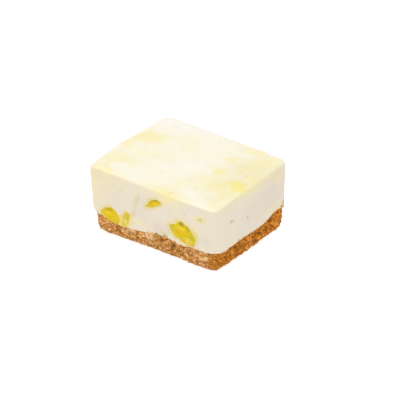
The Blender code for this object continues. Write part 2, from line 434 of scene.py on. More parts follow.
# Soft patches of each tint on the cream: middle and radii in mm, strength, then the turn about
# Z and the lean about Y in degrees. Within each tint the top comes first.
creamPatches = {
    "lemon": [  # where the lemon shows
        ((-34, 6, 38), (11, 11, 10), 0.55),
        ((-26, 11, 38), (10, 9, 10), 0.42),
        ((-36, -5, 38), (7, 9, 10), 0.42),
        ((-31, -19, 38), (10, 9, 10), 0.44),
        ((-36, -24, 38), (7, 8, 8), 0.22),
        ((-20, -6, 38), (19, 8, 10), 0.24, 15),
        ((-10, 12, 38), (18, 9, 10), 0.2, -35),
        ((17, 13, 38), (5, 3.6, 10), 0.42),
        ((19.3, 0.5, 38), (5.6, 5.2, 10), 0.5),
        ((-25, 3, 38), (10, 6, 10), 0.24),
        ((-21, -17, 38), (9, 8, 10), 0.22),
        ((33, 20, 38), (11, 12, 10), 0.5),
        ((22, 27, 38), (10, 6, 10), 0.48),
        ((30, 10, 38), (10, 9, 10), 0.38),
        ((37.5, 3, 38), (6, 7, 10), 0.42),
        ((33.8, -5.2, 38), (8.5, 7, 10), 0.7),
        ((33.4, -5.4, 38), (5.8, 5.2, 5), 0.5),
        ((37.5, -6, 38), (5, 7, 5), 0.3),
        ((27, -11, 38), (14, 9, 10), 0.46, 20),
        ((32, -16, 38), (10, 7, 10), 0.34),
        ((16, -11, 38), (13, 8, 10), 0.26, 20),
        ((12, -19, 38), (12, 7, 10), 0.24),
        ((10, -28, 38), (9, 8, 10), 0.42),
        ((13, -32.5, 37.5), (16, 5, 7), 0.26),
        ((-12, -32, 38), (14, 4, 5), 0.2),
        ((36, -25, 38), (8, 8, 8), 0.3),
        ((-31, -31, 38), (11, 5, 6), 0.38),
        ((-30, -33, 32), (17, 6, 12), 0.22),
        ((-37, -33, 24), (9, 6, 20), 0.24),
        ((-28, -33, 36.5), (12, 6, 5), 0.16),
        ((10, -33, 38.5), (18, 6, 5), 0.26),
        ((11, -33, 35), (9, 6, 3), 0.3),
        ((9, -33, 32.6), (6, 6, 1.8), 0.45, 0, -29),
        ((16.5, -33, 32.5), (3.5, 6, 3), 0.22),
        ((30, -33, 38.5), (12, 6, 4), 0.2),
        ((-5, -33, 14), (10, 6, 4), 0.2),
        ((27.8, -33, 23), (3, 6, 5), 0.4),
        ((40, -9, 38.5), (6, 22, 3.2), 0.26),
        ((40, 9, 38), (6, 13, 4.2), 0.2),
        ((40, 22, 33), (6, 9, 9), 0.26),
        ((40, 17, 16), (6, 14, 4), 0.22),
        ((20, 33, 34), (17, 6, 5), 0.35),
        ((-24, 33, 30), (12, 6, 8), 0.28),
        ((-40, 6, 27), (6, 16, 7), 0.3),
    ],
    "pale": [  # plain white cream, and painted highlight along the back and left rims, which are washed out to white
        ((-30, 26, 38), (24, 13, 10), 0.8),
        ((-8, 29, 38), (22, 10, 10), 0.45),
        ((4, -3, 38), (20, 8, 10), 0.55, 42),
        ((25, 19, 38), (5.5, 5, 10), 0.35),
        ((22.5, -27, 38), (7, 5, 10), 0.6),
        ((-11, -28, 38), (8, 6, 10), 0.4),
        ((-27, -8, 38), (8, 5, 10), 0.3),
        # painted highlight: the back and left rims whitened as if washed out by the light
        ((0, 35.5, 39), (50, 7, 9), 0.8),
        ((-43, 10, 39), (7, 28, 9), 0.7),
    ],
    "dull": [  # a duller yellow over the end of the top and along its front rim
        ((31, 5, 38), (23, 36, 12), 0.5),
        ((22, 12, 38), (8, 10, 10), 0.2),
        ((34, -22, 38), (9, 12, 10), 0.2),
        ((-4, -33, 38), (44, 8, 8), 0.24),
        ((12, -31, 38), (15, 6, 7), 0.18),
        ((12, 27, 38), (10, 9, 10), 0.16),
    ],
    "shade": [  # where the cut faces are greyer
        ((40, 14, 26), (8, 26, 22), 0.5),
        ((40, -4, 20), (8, 16, 16), 0.22),
        ((40, 27, 24), (8, 7, 22), 0.22),
        ((5, -33, 16), (17, 6, 7), 0.6),
        ((-6, -33, 24), (10, 6, 10), 0.26),
        ((33, -33, 17), (12, 6, 9), 0.35),
        ((-22, -33, 25), (9, 6, 12), 0.2),
        ((22, -33, 30), (5, 6, 5), 0.3),
        ((40, -18, 25.3), (5, 3.4, 2), 0.3),
    ],
}
smallCreamPatches = {
    "drop": [  # strong spots of lemon
        ((34.9, -6.3, 38.4), (8, 5, 6), 1.15, 127),
        ((36.6, -5.4, 38.4), (4, 2.6, 6), 0.5, 127),
        ((19, -0.6, 38.4), (7, 4.2, 6), 0.55, 127),
        ((35, 26.5, 38.4), (7, 6, 6), 0.2),
        ((31, -33, 30), (6, 6, 3.6), 0.8),
    ],
    "vein": [  # darker veins of lemon in the cut faces
        ((-10.4, -33, 18.6), (2.3, 6, 6), 1.1, 0, 36),
        ((-8.2, -33, 26.6), (2.3, 6, 7.5), 1, 0, 22),
        ((-6.6, -33, 30), (2.6, 6, 3), 0.4, 0, 40),
        ((12.5, -33, 27), (2, 6, 4), 0.35, 0, 20),
        ((-33, -33, 33), (6, 6, 5), 0.22),
        ((24.5, -33, 26), (3.2, 6, 1.4), 0.45, 0, 30),
        ((28.4, -33, 20.5), (1.6, 6, 4.4), 0.5),
        ((11.6, -33, 17), (1.6, 6, 3), 0.4),
        ((9.6, -33, 14), (5.5, 6, 1.9), 1.5),
        ((31.6, -33, 30.2), (5, 6, 3.4), 0.75),
        ((40, 20, 35), (6, 8, 3), 0.4),
        ((-3, 33, 24), (2.4, 6, 9), 0.6, 0, -28),
        ((-22, 33, 28), (2, 6, 6), 0.4, 0, 20),
        ((-40, -12, 22), (6, 2.4, 8), 0.45),
    ],
    "stain": [  # deep yellow next to the curd, where it has run into the cream
        ((-18.2, -33, 12.6), (3.6, 5, 4.6), 1.9),
        ((-17.6, -33, 10.6), (5, 5, 3.4), 2.2),
        ((-15, -33, 10.8), (2.6, 5, 1.6), 1),
        ((-12.9, -33, 12.6), (1.6, 5, 2.6), 0.7),
        ((-30.6, -33, 12.6), (1.8, 5, 2.4), 0.9),
        ((-22, -33, 16.4), (2.4, 5, 1.2), 0.6, 0, 40),
        ((-13.2, -33, 15.6), (1.6, 5, 2.4), 0.6, 0, 20),
        ((-0.9, -33, 28.8), (1.8, 5, 1.9), 1, 0, 40),
        ((3.4, -33, 28.6), (3.6, 5, 1), 0.6, 0, -25),
        ((8.4, -33, 32.3), (2, 5, 0.9), 0.6, 0, -30),
        ((15, -33, 23.2), (2.6, 5, 1.5), 0.8, 0, -45),
        ((27, -33, 21), (1.3, 5, 3), 0.6, 0, -32),
        ((16.4, -33, 15.4), (2, 5, 2.6), 0.9, 0, -40),
        ((20.4, -33, 13.4), (4, 5, 1.8), 1.4),
        ((-25.5, -33, 9.6), (7, 5, 2), 1.5),
        ((-29, 33, 13.5), (4, 5, 3), 0.7),
        ((-5, 33, 14), (3, 5, 4), 0.6),
        ((28, 33, 17), (3, 5, 4), 0.6),
    ],
    "smear": [  # crumb dust that the knife drew over the cream
        ((40, 27.5, 14.8), (5, 5.5, 4.6), 1.5),
        ((40, 30, 22), (4, 3, 11), 0.55),
        ((40, 18, 13.6), (4, 6, 1.6), 0.45),
        ((-34.5, -33, 13), (3.5, 5, 2.5), 0.7),
        ((-6, -33, 13.4), (9, 5, 1), 0.3),
        ((-38, 30, 13.5), (5, 5, 3.5), 0.7),
        ((-10, 33, 14), (9, 5, 2.5), 0.6),
    ],
}


def pocketRims(points):
    # how near each point is to the curd, the way there, and how far it leans over it
    values = cream
    near, way = np.full(len(points), values["haloReach"]), np.zeros((len(points), 3))
    inward, ragged = np.zeros(len(points)), np.ones(len(points))
    for node, (_, rims, _) in ribbons.items():
        ownNear, ownWay = nearestOn(ribbonWalls[node], points, values["haloReach"])
        closer = ownNear < near
        near[closer], way[closer] = ownNear[closer], ownWay[closer]
        inward[closer], ragged[closer] = rims
    for kind in values["ragged"]:
        inward += relief(points, kind, ragged)
    inward = np.maximum(inward - patchesAt(points, values["opened"]), -values["mostOpened"])
    inward *= smooth(near, values["raggedReach"], values["raggedWhole"])
    return near, way, inward


def makeCream():
    values = cream
    piece = softCopy("cheesecake_filling", "creamFilling", values)
    points = readPoints(piece)
    low, high = points.min(axis=0), points.max(axis=0)
    reach = values["rimReach"]
    toSide = np.minimum(points[:, :2] - low[:2], high[:2] - points[:, :2]).min(axis=1)
    rim = (toSide < reach) & (points[:, 2] > high[2] - reach)
    applyToPart(piece, rim, "SMOOTH", factor=0.5, iterations=values["rimSmoothing"])
    thinOut(piece, deepInside(points, **values["hidden"]), values["hiddenKept"])

    points, normals = readPoints(piece), readNormals(piece)
    top = smooth(normals[:, 2], *values["topSlope"])
    side = smooth(np.abs(normals[:, 2]), *values["sideSlope"])
    turn = Matrix.Rotation(math.radians(values["strokesTurn"]), 3, "Z")
    shift = relief(points, values["swell"])
    shift += relief(points @ np.array(turn), values["strokes"], top)
    shift += relief(points, values["drag"], side)
    shift += relief(points, values["grain"])
    shift -= pits(points, side, values["pits"])
    near, way, inward = pocketRims(points)
    points += normals * shift[:, None] + way * inward[:, None]
    crumbTree = treeOf(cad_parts["biscuit_base"].data)
    smear = nearestOn(crumbTree, points, values["smearReach"])[0] / values["smearReach"]
    points[:, 2] -= values["footDrop"] * (1.0 - smear)
    writePoints(piece, points)
    writePatches(piece, points, creamPatches, values["wander"])
    writePatches(piece, points, smallCreamPatches, values["closeWander"])
    writeAttribute(piece, "curdNear", 1.0 - near / values["haloReach"])
    writeAttribute(piece, "crumbNear", 1.0 - smear)
    # painted light on the rims: the top's lighter colour reaches a little way down the sides
    deep, shallow = values["litRimBand"]
    litRimBand = values["litRimShare"] * smooth(points[:, 2], high[2] - deep, high[2] - shallow)
    writeAttribute(piece, "onTop", np.maximum(top, litRimBand))
    finishPiece(piece, ["cheesecake_filling"], creamMaterial())
    return piece


def creamMaterial():
    values, steps = cream, cream["steps"]
    paint = Paint("creamCheese")
    blotches, mottle, rough, flecks, fine = paint.noises(values["noises"])
    streaks = paint.noise(1.0, 4.0, 0.6, paint.stretched(*values["streaks"]))
    near, onTop = paint.attribute("curdNear"), paint.attribute("onTop")
    uneven = 0.62 + paint.step(streaks, *steps["streaks"]) + paint.step(blotches, *steps["blotches"])
    stain = paint.step(paint.attribute("stain") + rough * 0.5, *steps["stain"])
    dust = paint.attribute("smear") + paint.attribute("crumbNear") + rough * 0.8
    # painted shade on the cut faces: they start from the darker cut colours, and the top's lighter colour
    # covers them as far as onTop reaches
    colour = paint.layers(values["shadedCutColour"], values, [
        ("creamyCut", paint.step(mottle, *steps["creamyCut"])),
        ("colour", onTop),
        ("white", paint.step(paint.attribute("pale"), *steps["white"])),
        ("shade", paint.attribute("shade")),
        ("yellow", paint.attribute("lemon") * uneven),
        ("dull", paint.attribute("dull")),
        ("yellow", paint.attribute("drop")),
        ("vein", paint.attribute("vein") * (0.45 + paint.step(rough, *steps["vein"]))),
        ("halo", paint.step(near + mottle * 1.3 + blotches * 0.7, *steps["halo"])),
        ("stain", stain + paint.step(near + rough * 0.5, *steps["nearCurd"])),
        ("crumbStain", paint.step(dust, *steps["crumbStain"])),
        ("fleck", paint.step(flecks, *steps["fleck"])),
    ])
    marks = paint.noise(1.0, 2.0, 0.0, paint.stretched(values["marks"])) * (1.0 - onTop)
    normal = paint.bump(fine, *values["bumps"]["fine"])
    normal = paint.bump(marks, *values["bumps"]["marks"], normal)
    return paint.finish(colour, 0.42 + mottle * 0.14, normal, **values["finish"])


curd = {
    "voxel": 0.3 * mm, "smoothing": 2,
    "grow": 0.70 * mm,  # reaches under the ragged rims of the cream
    "wobble": {"height": 0.30 * mm, "size": 1.6 * mm, "place": 4.4},
    "sinkFrom": 0.45,  # share of the pocket's height where the top begins
    "sinkReach": (7.0 * mm, 1.5 * mm),  # how deep behind a cut face the ribbon still moves with it
    "endSlope": (0.6, 0.9), "endRim": (0.1 * mm, 0.4 * mm),  # what counts as a ribbon's end
    "endDepth": 2.0 * mm,  # of the slice that the pocket's height is taken from
    "edgeReach": 1.6 * mm,  # how far from the pocket's wall counts as its edge
    "spread": [  # where it reaches further: middle and radii in mm, then how much
        ((19, -33, 14.6), (8, 14, 3.8), 0.7 * mm),
        ((13.6, -33, 19), (4.5, 14, 5), 0.6 * mm),
        ((-18.2, -33, 12), (3, 14, 4), 0.7 * mm),
        ((-25, -33, 9.4), (8, 14, 2.6), 0.7 * mm),
    ],
    "edgeDip": 0.40 * mm, "edgeDipShare": 0.45,  # it goes down all round, under the rim of the cream
    "wander": {"size": 2.4 * mm, "reach": 0.9 * mm},
    "deep": (0.660, 0.455, 0.004),
    "bright": (0.750, 0.545, 0.006),
    "pale": (0.760, 0.640, 0.150),
    # painted shade at the tops of the pockets, and a darker olive curd
    "olive": (0.420, 0.340, 0.006),
    "green": (0.570, 0.500, 0.030),
    "amber": (0.620, 0.370, 0.006),
    # painted highlight on the glossy curd
    "sunny": (0.850, 0.610, 0.035),
    "swirl": ((170, 80, 620), (0, -38, 0)),
    "noises": {"cloudy": (420.0, 4.0, 0.6), "rough": (800.0, 3.0), "lumpy": (700.0, 3.0)},
    "bump": (0.12 * mm, 0.6),
    "finish": {
        "Subsurface_Weight": 0.15, "Subsurface_Scale": 1.0 * mm, "Subsurface_Radius": (1.0, 0.7, 0.1),
        "Coat_Weight": 0.02, "Coat_Roughness": 0.12, "Specular_IOR_Level": 0.08,
    },
    "steps": {
        "bright": (0.35, 0.62), "cloudy": (0.62, 0.76, 0.25),
        "green": (0.85, 0.45, 0.25), "rim": (0.55, 0.35, 0.65),
    },
}

# lighter and darker places in the curd, by colour, some of them painted shade and painted highlights:
# middle and radii in mm, then strength
curdPatches = {
    "green": [
        ((14, -33, 18.2), (2.2, 9, 2.6), 0.8),
        ((19, -33, 15.4), (3, 9, 1.4), 0.7),
        ((26.2, -33, 17.4), (2, 9, 5), 1.2, 0, -24),
        ((13.8, -33, 19), (1.6, 9, 3), 0.5, 0, -30),
        ((24, -33, 21), (2.6, 9, 1.8), 0.6),
        ((-21.4, -33, 12.4), (1.8, 9, 3), 0.5),
        ((-14.9, -33, 13.8), (1.3, 9, 3.4), 0.8),
    ],
    # painted shade: a darker olive at the tops of the pockets, where the cream's rim hangs over the curd,
    # and a darker olive curd in a few other places
    "olive": [
        ((19.4, -33, 24), (3.2, 9, 3.4), 1.9),
        ((23.4, -33, 22), (2.6, 9, 1.3), 0.8, 0, 30),
        ((14.4, -33, 21.4), (2.2, 9, 1.1), 0.7, 0, 35),
        ((-25.6, -33, 15.6), (3.2, 9, 1.2), 0.9),
        ((-25, -33, 8.8), (2.4, 9, 0.9), 0.6),
        ((4.2, -33, 32.4), (4.8, 9, 2), 1.9, 0, -22),
        ((-15.2, -33, 13.8), (2.6, 9, 3.8), 0.8),
        ((24.6, -33, 16.4), (3, 9, 3), 0.4),
    ],
    # painted highlights: thin brighter streaks across the pockets, where the glossy curd would catch the
    # light
    "sunny": [
        ((19.6, -33, 20.8), (4.6, 9, 1.2), 1, 0, 38),
        ((-26.4, -33, 13.6), (2.6, 9, 1.5), 0.8),
        ((-23, -33, 12.4), (2.4, 9, 1.8), 0.4),
        ((4.8, -33, 29.9), (2.6, 9, 0.9), 1, 0, -20),
    ],
    "amber": [
        ((17.2, -33, 18.4), (3.4, 9, 1.8), 0.6),
        ((0.8, -33, 29), (2, 9, 1.4), 1),
        ((-24.6, -33, 11.6), (2.6, 9, 1), 0.4),
    ],
    "pale": [
        ((23, -33, 15.2), (3.6, 9, 2), 0.8),
        ((25.6, -33, 13.8), (2.2, 9, 1.8), 0.6),
        ((-15.6, -33, 12.6), (3, 9, 5), 0.95),
        ((-29.8, -33, 11.4), (2.2, 9, 1.8), 0.6),
        ((-19.6, -33, 11.2), (2.2, 9, 1.4), 0.5),
    ],
}


def makeCurd(node, material):
    values = curd
    name, _, (sinkTop, sinkBelow) = ribbons[node]
    piece = softCopy(node, name, values)
    points, normals = readPoints(piece), readNormals(piece)
    distance, way = nearestOn(ribbonWalls[node], points, values["edgeReach"])
    inside = distance / values["edgeReach"]
    frontEdge, backEdge = points[:, 1].min(), points[:, 1].max()
    # the walls and ends move out together, away from the ribbon's middle
    atEnd = smooth(np.abs(normals[:, 1]), *values["endSlope"]) * smooth(distance, *values["endRim"])
    outward = (normals * (1.0, 0.0, 1.0)) * (1.0 - atEnd)[:, None] + way * atEnd[:, None]
    outward /= np.maximum(np.linalg.norm(outward, axis=1), 0.1)[:, None]
    grow = values["grow"] + patchesAt(points, values["spread"])
    points += outward * (grow * smooth(inside, 1.0, 0.1))[:, None]
    for edge, way in ((frontEdge, 1.0), (backEdge, -1.0)):
        reach = smooth(np.abs(points[:, 1] - edge), *values["sinkReach"])
        heights = points[np.abs(points[:, 1] - edge) < values["endDepth"], 2]
        middle = heights.min() + values["sinkFrom"] * (heights.max() - heights.min())
        up = smooth(points[:, 2], middle, heights.max())
        depth = sinkBelow + (sinkTop - sinkBelow) * up
        depth += values["edgeDip"] * smooth(inside, values["edgeDipShare"], 0.0)
        depth += relief(points, values["wobble"])
        points[:, 1] += way * reach * depth
    writePoints(piece, points)
    writeAttribute(piece, "inside", inside)
    writePatches(piece, points, curdPatches, values["wander"])
    finishPiece(piece, [node], material)


def curdMaterial():
    values, steps = curd, curd["steps"]
    paint = Paint("lemonCurd")
    cloudy, rough, lumpy = paint.noises(values["noises"])
    swirl = paint.noise(1.0, 3.0, 1.0, paint.stretched(*values["swirl"]))
    inside = paint.attribute("inside") + rough * 0.5
    masks = [("bright", paint.step(swirl, *steps["bright"]))]
    masks += [(name, paint.attribute(name) * (0.6 + swirl * 0.8)) for name in curdPatches]
    masks += [
        ("pale", paint.step(cloudy, *steps["cloudy"])),
        ("green", paint.step(inside, *steps["green"])),
        ("pale", paint.step(inside, *steps["rim"])),
    ]
    colour = paint.layers(values["deep"], values, masks)
    normal = paint.bump(lumpy, *values["bump"])
    return paint.finish(colour, 0.24 + cloudy * 0.16, normal, **values["finish"])


crumb = {
    "voxel": 0.36 * mm, "smoothing": 4,
    "lumps": [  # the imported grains
        {"size": 2.4 * mm, "height": 0.42 * mm, "place": 2.0},
        {"size": 1.1 * mm, "height": 0.28 * mm, "place": 5.0},
    ],
    "hidden": {"left": 6 * mm, "right": 5 * mm, "front": 4 * mm, "back": 6 * mm, "above": 0.0},
    "hiddenKept": 0.12,
    "sideSlope": (0.95, 0.6),  # how far up or down the sides look
    "grainWidth": 0.45, "grainLevel": 0.75,  # where a grain is whole, and the mean height
    "heave": {"height": 0.30 * mm, "size": 6.0 * mm, "place": 8.1},
    "drawIn": 0.10 * mm,  # leaves room for the loose grains
    "pits": {"count": 150, "radius": (0.6 * mm, 1.5 * mm), "depth": 0.50, "seed": 12},  # fallen out
    "pitShadeDepth": 0.35 * mm,  # the depth where a pit's painted shade is as dark as a crack's
    "rimReach": 1.5 * mm, "rimBand": (0.75, 0.25), "rimSlope": (-0.2, 0.5),  # the rim under the cream
    "shapes": {"count": 9, "size": 0.8, "roundness": 0.7, "roughness": 0.18},
    "stretch": (0.7, 1.15),  # of each grain along each of its axes
    "fine": {"count": 3200, "size": (0.4 * mm, 1.0 * mm), "sink": 0.42, "seed": 21},
    "coarse": {"count": 420, "size": (1.0 * mm, 2.1 * mm), "sink": 0.55, "seed": 34},
    "sinkSpread": 0.3, "jitter": 0.15,  # in mm
    "clear": 0.6,  # how high a grain's middle stays over the floor, as a share of its size
    "low": {"under": 3 * mm, "size": 0.75, "sink": 0.12},  # low grains are smaller and deeper in
    "grainTones": (0.48, 0.16),  # mean and spread
    "tones": [
        (0.00, (0.20, 0.070, 0.008)),
        (0.25, (0.51, 0.215, 0.036)),
        (0.50, (0.83, 0.42, 0.140)),
        (0.75, (0.93, 0.59, 0.300)),
        (1.00, (0.95, 0.76, 0.480)),
    ],
    # painted shade in the cracks between grains and in the pits
    "crevice": (0.22, 0.085, 0.010),
    "browned": (0.52, 0.31, 0.06),
    "damp": (0.26, 0.19, 0.03),  # darker olive-brown along the top of the crumb, under the cream
    "lemon": (0.80, 0.62, 0.13),
    # painted shade: darker towards the floor, a contact shadow along the bottom of the base
    "foot": (0.40, 0.22, 0.13),
    "baked": (0.87, 0.62, 0.215),  # tints the two short sides darker and browner: partly a browner crumb, partly painted shade of the right side, which gets less light than the front
    "lift": 0.80 * mm,  # the top rim comes up against the cream
    "liftWaves": {"height": 0.9, "size": 2.4 * mm, "place": 6.6},
    "lowered": [  # where it comes up less, or more
        ((-22.5, -33, 10.8), (11, 9, 6), 2.0 * mm),
        ((9, -33, 12.6), (10, 9, 5), -0.8 * mm),
        ((-4, -33, 12.4), (11, 9, 5), -0.8 * mm),
    ],
    "wander": {"size": 2.6 * mm, "reach": 0.6 * mm},
    "shaped": [  # where the sides stand out or in: middle and radii in mm, then how much
        ((20, -33, 2), (26, 9, 6), 0.45 * mm),
        ((-22, -33, 2), (22, 9, 6), 0.30 * mm),
        ((40, 0, 2), (9, 30, 5), 0.30 * mm),
        ((41, 33, 3), (10, 10, 9), -1.9 * mm),
    ],
    "bump": (0.15 * mm, 0.8),
    "finish": {"Specular_IOR_Level": 0.12},
    "noises": {
        "speckle": (1500.0, 3.0), "patchy": (150.0, 3.0),
        "clusters": (420.0, 2.0, 0.3), "hue": (300.0, 2.0),
    },
    "steps": {
        "baked": (32 * mm, 38 * mm), "foot": (2.5 * mm, 0.9 * mm, 0.7),
        "crevice": (0.75, 0.3, 0.65), "browned": (0.53, 0.66, 0.32),
        "damp": (0.45, 0.85, 0.75), "lemon": (0.50, 0.90, 0.75),
    },
}

# places on the crumb: lighter (above 0) or darker in tone, darker olive-brown under the cream, or stained
# by the curd
crumbPatches = {
    "spots": [
        ((-29, -33, 8), (4, 5, 5), 0.14),
        ((-19.5, -33, 4.5), (2.2, 5, 2.4), -0.3),
        ((-14.5, -33, 8), (5, 5, 4), 0.27),
        ((-6.5, -33, 9), (4, 5, 3), 0.12),
        ((-1.5, -33, 8.5), (6, 5, 5), 0.34),
        ((7.5, -33, 8.5), (2.8, 5, 4), -0.52),
        ((10.8, -33, 6.5), (1.6, 5, 2), 0.16),
        ((14.4, -33, 8.2), (3.4, 5, 4), -0.38),
        ((21, -33, 7), (5, 5, 4), 0.16),
        ((30, -33, 8), (10, 6, 7), 0.14),
        ((40, -32, 7), (6, 7, 6), 0.24),
        ((25.5, -33, 5.5), (2.5, 5, 2.6), -0.2),
        ((32.8, -33, 6.5), (4.4, 5, 3.6), 0.32),
        ((37.8, -33, 6), (2.5, 5, 4), -0.12),
        ((40, -30, 9.5), (5, 3.4, 3), 0.14),
        ((40, 2.8, 4.5), (5, 1.8, 1.8), -0.3),
        ((40, 6.2, 6.6), (5, 2.4, 3), -0.38),
        ((40, 12.2, 6.2), (5, 2.8, 4), -0.32),
        ((40, 15.2, 9.8), (5, 2.6, 2.4), -0.28),
        ((40, -4, 7), (5, 3, 2.4), 0.1),
        ((40, 20, 7), (5, 4, 3.4), 0.3),
        ((40, -15, 7), (5, 14, 6), -0.12),
        ((40, 24.5, 8.5), (5, 3.4, 3.4), 0.2),
        ((-40, 8, 7), (5, 4, 4), -0.28),
        ((-40, -14, 8), (5, 5, 4), 0.2),
        ((-12, 33, 8), (5, 5, 4), 0.2),
        ((18, 33, 7), (5, 5, 4), -0.28),
        ((-30, 33, 7), (4, 5, 4), -0.16),
    ],
    "soaked": [
        ((4.5, -33, 13), (4.5, 5, 2.2), 1.3, 0, -10),
        ((9.5, -33, 13.8), (7, 5, 2.4), 1.8),
        ((-26, -33, 10.4), (3.4, 5, 2.2), 1.1),
        ((18.5, -33, 12.6), (3.4, 5, 1.6), 0.9),
        ((30, -33, 12.8), (5, 5, 1.5), 0.8),
        ((40, 18, 13.4), (5, 3.4, 2), 1.1),
        ((40, -14, 12.2), (5, 3.4, 1.4), 0.7),
        ((40, 6, 13), (5, 2.4, 1.4), 0.7),
        ((-8, 33, 12), (6, 5, 1.8), 1),
        ((-40, 2, 12), (5, 6, 1.8), 1),
    ],
    "run": [
        ((-24, -33, 11), (9, 5, 2.2), 1.3, 0, 6),
        ((-17, -33, 10.6), (6, 5, 2.2), 1),
        ((24, -33, 13), (6, 5, 1.6), 0.7),
    ],
}


def cellNoise(points, size, place):
    # near 0 in the cracks between grains and 1 inside them, and a number for each grain
    rise, tone = np.empty(len(points)), np.empty(len(points))
    for k, point in enumerate(points / size + place):
        distances, centres = noise.voronoi(Vector(point))
        rise[k] = distances[1] - distances[0]
        tone[k] = 0.5 + 0.5 * noise.cell(centres[0] * 3.7)
    return np.clip(rise, 0.0, 1.0), tone


def makeBase():
    values = crumb
    piece = softCopy("biscuit_base", "crumbBase", values)
    thinOut(piece, deepInside(readPoints(piece), **values["hidden"]), values["hiddenKept"])
    points, normals = readPoints(piece), readNormals(piece)
    outer = smooth(np.abs(normals[:, 2]), *values["sideSlope"])
    shift = relief(points, values["heave"]) - outer * values["drawIn"]
    # crack is painted shade: darkest in the cracks between grains and in the pits
    tone, crack = np.zeros(len(points)), np.ones(len(points))
    for lumps in values["lumps"]:
        rise, own = cellNoise(points, lumps["size"], lumps["place"])
        swell = smooth(rise, 0.0, values["grainWidth"])
        shift += lumps["height"] * (swell - values["grainLevel"])
        tone = 0.5 * (tone + own)
        crack *= 0.35 + 0.65 * swell
    depth = pits(points, outer, values["pits"])
    shift -= depth
    crack *= 1.0 - smooth(depth, 0.0, values["pitShadeDepth"])
    shift *= 0.25 + 0.75 * outer
    points += normals * shift[:, None]
    points += normals * (outer * patchesAt(points, values["shaped"]))[:, None]
    creamTree = treeOf(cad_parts["cheesecake_filling"].data)
    under = nearestOn(creamTree, points, values["rimReach"])[0] / values["rimReach"]
    rim = smooth(under, *values["rimBand"]) * smooth(normals[:, 2], *values["rimSlope"])
    uneven = 0.5 + np.abs(relief(points, values["liftWaves"]))
    lift = values["lift"] * uneven - patchesAt(points, values["lowered"])
    points[:, 2] = np.maximum(points[:, 2] + lift * rim, 0.0)
    writePoints(piece, points)
    writePatches(piece, points, crumbPatches, values["wander"])
    writeAttribute(piece, "tone", tone)
    writeAttribute(piece, "crack", crack)
    finishPiece(piece, ["biscuit_base"], crumbMaterial("pressedCrumb", True))
    return piece


def crumbShapes(count, size, roundness, roughness):
    # rough little lumps about one unit wide, as points and faces
    shapes = []
    for k in range(count):
        bpy.ops.mesh.primitive_cube_add(size=size)
        piece = bpy.context.object
        bpy.ops.object.mode_set(mode="EDIT")
        bpy.ops.mesh.select_all(action="SELECT")
        bpy.ops.mesh.subdivide(number_cuts=1, smoothness=roundness)
        bpy.ops.transform.vertex_random(offset=roughness, uniform=1.0, normal=0.0, seed=k + 1)
        bpy.ops.object.mode_set(mode="OBJECT")
        faces = np.array([tuple(p.vertices) for p in piece.data.polygons])
        shapes.append((readPoints(piece), faces))
        bpy.data.objects.remove(piece)
    return shapes


def scatter(name, shapes, spots, material):
    # spots: the place, size and tone of each grain
    chance = random.Random(len(spots))
    lumps = []
    for place, size, tone in spots:
        points, faces = chance.choice(shapes)
        turn = Euler([chance.uniform(0, math.tau) for _ in range(3)]).to_matrix()
        stretch = Matrix.Diagonal([size * chance.uniform(*crumb["stretch"]) for _ in range(3)])
        moved = points @ np.array(turn @ stretch @ turn.transposed() @ turn).T + np.array(place)
        moved[:, 2] = np.maximum(moved[:, 2], 0.0)
        lumps.append((moved, faces, tone))
    piece = joinLumps(name, lumps)
    writePatches(piece, readPoints(piece), crumbPatches, crumb["wander"])
    finishPiece(piece, [], material)


def sideSpots(piece, kind):
    # places spread over the sides of the base by area, each grain sunk a little
    values = crumb
    chance = random.Random(kind["seed"])
    sides = [p for p in piece.data.polygons if abs(p.normal.z) < 0.8]
    chosen = chance.choices(sides, weights=[p.area for p in sides], k=kind["count"])
    low, jitter = values["low"], values["jitter"]
    spots = []
    for polygon in chosen:
        size, sink = mostlySmall(chance, *kind["size"]), kind["sink"]
        if polygon.center.z < low["under"]:
            size, sink = size * low["size"], sink + low["sink"]
        depth = size * (0.5 - sink - chance.random() * values["sinkSpread"])
        place = polygon.center + polygon.normal * depth
        place += Vector([chance.uniform(-jitter, jitter) * mm for _ in range(3)])
        place.z = max(place.z, size * values["clear"])
        spots.append((place, size, toneFrom(chance, *values["grainTones"])))
    return spots


clinging = {
    "count": 190, "size": (0.25 * mm, 0.70 * mm), "reach": 1.2 * mm, "seed": 8,
    "below": 22 * mm, "sink": (0.15, 0.38), "tones": (0.42, 0.2),
    "rim": 6 * mm, "slope": 0.6,  # what counts as the outside of the cream
    "smears": [  # denser places: middle and reach in mm, then how many grains
        ((39.6, 26, 14.6), 2.2, 16),
        ((-38, 28, 13), 3, 20),
    ],
}


def clingingSpots(filling):
    # crumbs that the knife dragged onto the lower edge of the cream
    values = clinging
    chance = random.Random(values["seed"])
    tree = treeOf(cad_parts["biscuit_base"].data)
    sides = [p for p in filling.data.polygons if abs(p.normal.z) < 0.5]
    sides = [p for p in sides if p.center.z < values["below"]]
    chance.shuffle(sides)
    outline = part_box("cheesecake_filling")
    spots = []
    wanted = [(values["count"], lambda p: nearCrumb(tree, p, values["reach"], chance))]
    for middle, reach, count in values["smears"]:
        wanted.append((count, nearPlace(Vector(middle) * mm, reach * mm)))
    for count, fits in wanted:
        found = 0
        for polygon in sides:
            if found == count:
                break
            if onOutside(polygon, *outline) and fits(polygon.center):
                size = mostlySmall(chance, *values["size"])
                place = polygon.center - polygon.normal * size * chance.uniform(*values["sink"])
                spots.append((place, size, toneFrom(chance, *values["tones"])))
                found += 1
    return spots


def nearCrumb(tree, point, reach, chance):
    hit = tree.find_nearest(point, reach)
    return hit[0] is not None and hit[3] < reach * chance.random() ** 1.5


def nearPlace(middle, reach):
    return lambda point: (point - middle).length < reach


def onOutside(polygon, low, high):
    # near one of the four upright sides of the box, and looking out of it
    rim, slope = clinging["rim"], clinging["slope"]
    for place, way, least, most in zip(polygon.center.xy, polygon.normal.xy, low, high):
        if (way > slope and place > most - rim) or (way < -slope and place < least + rim):
            return True
    return False


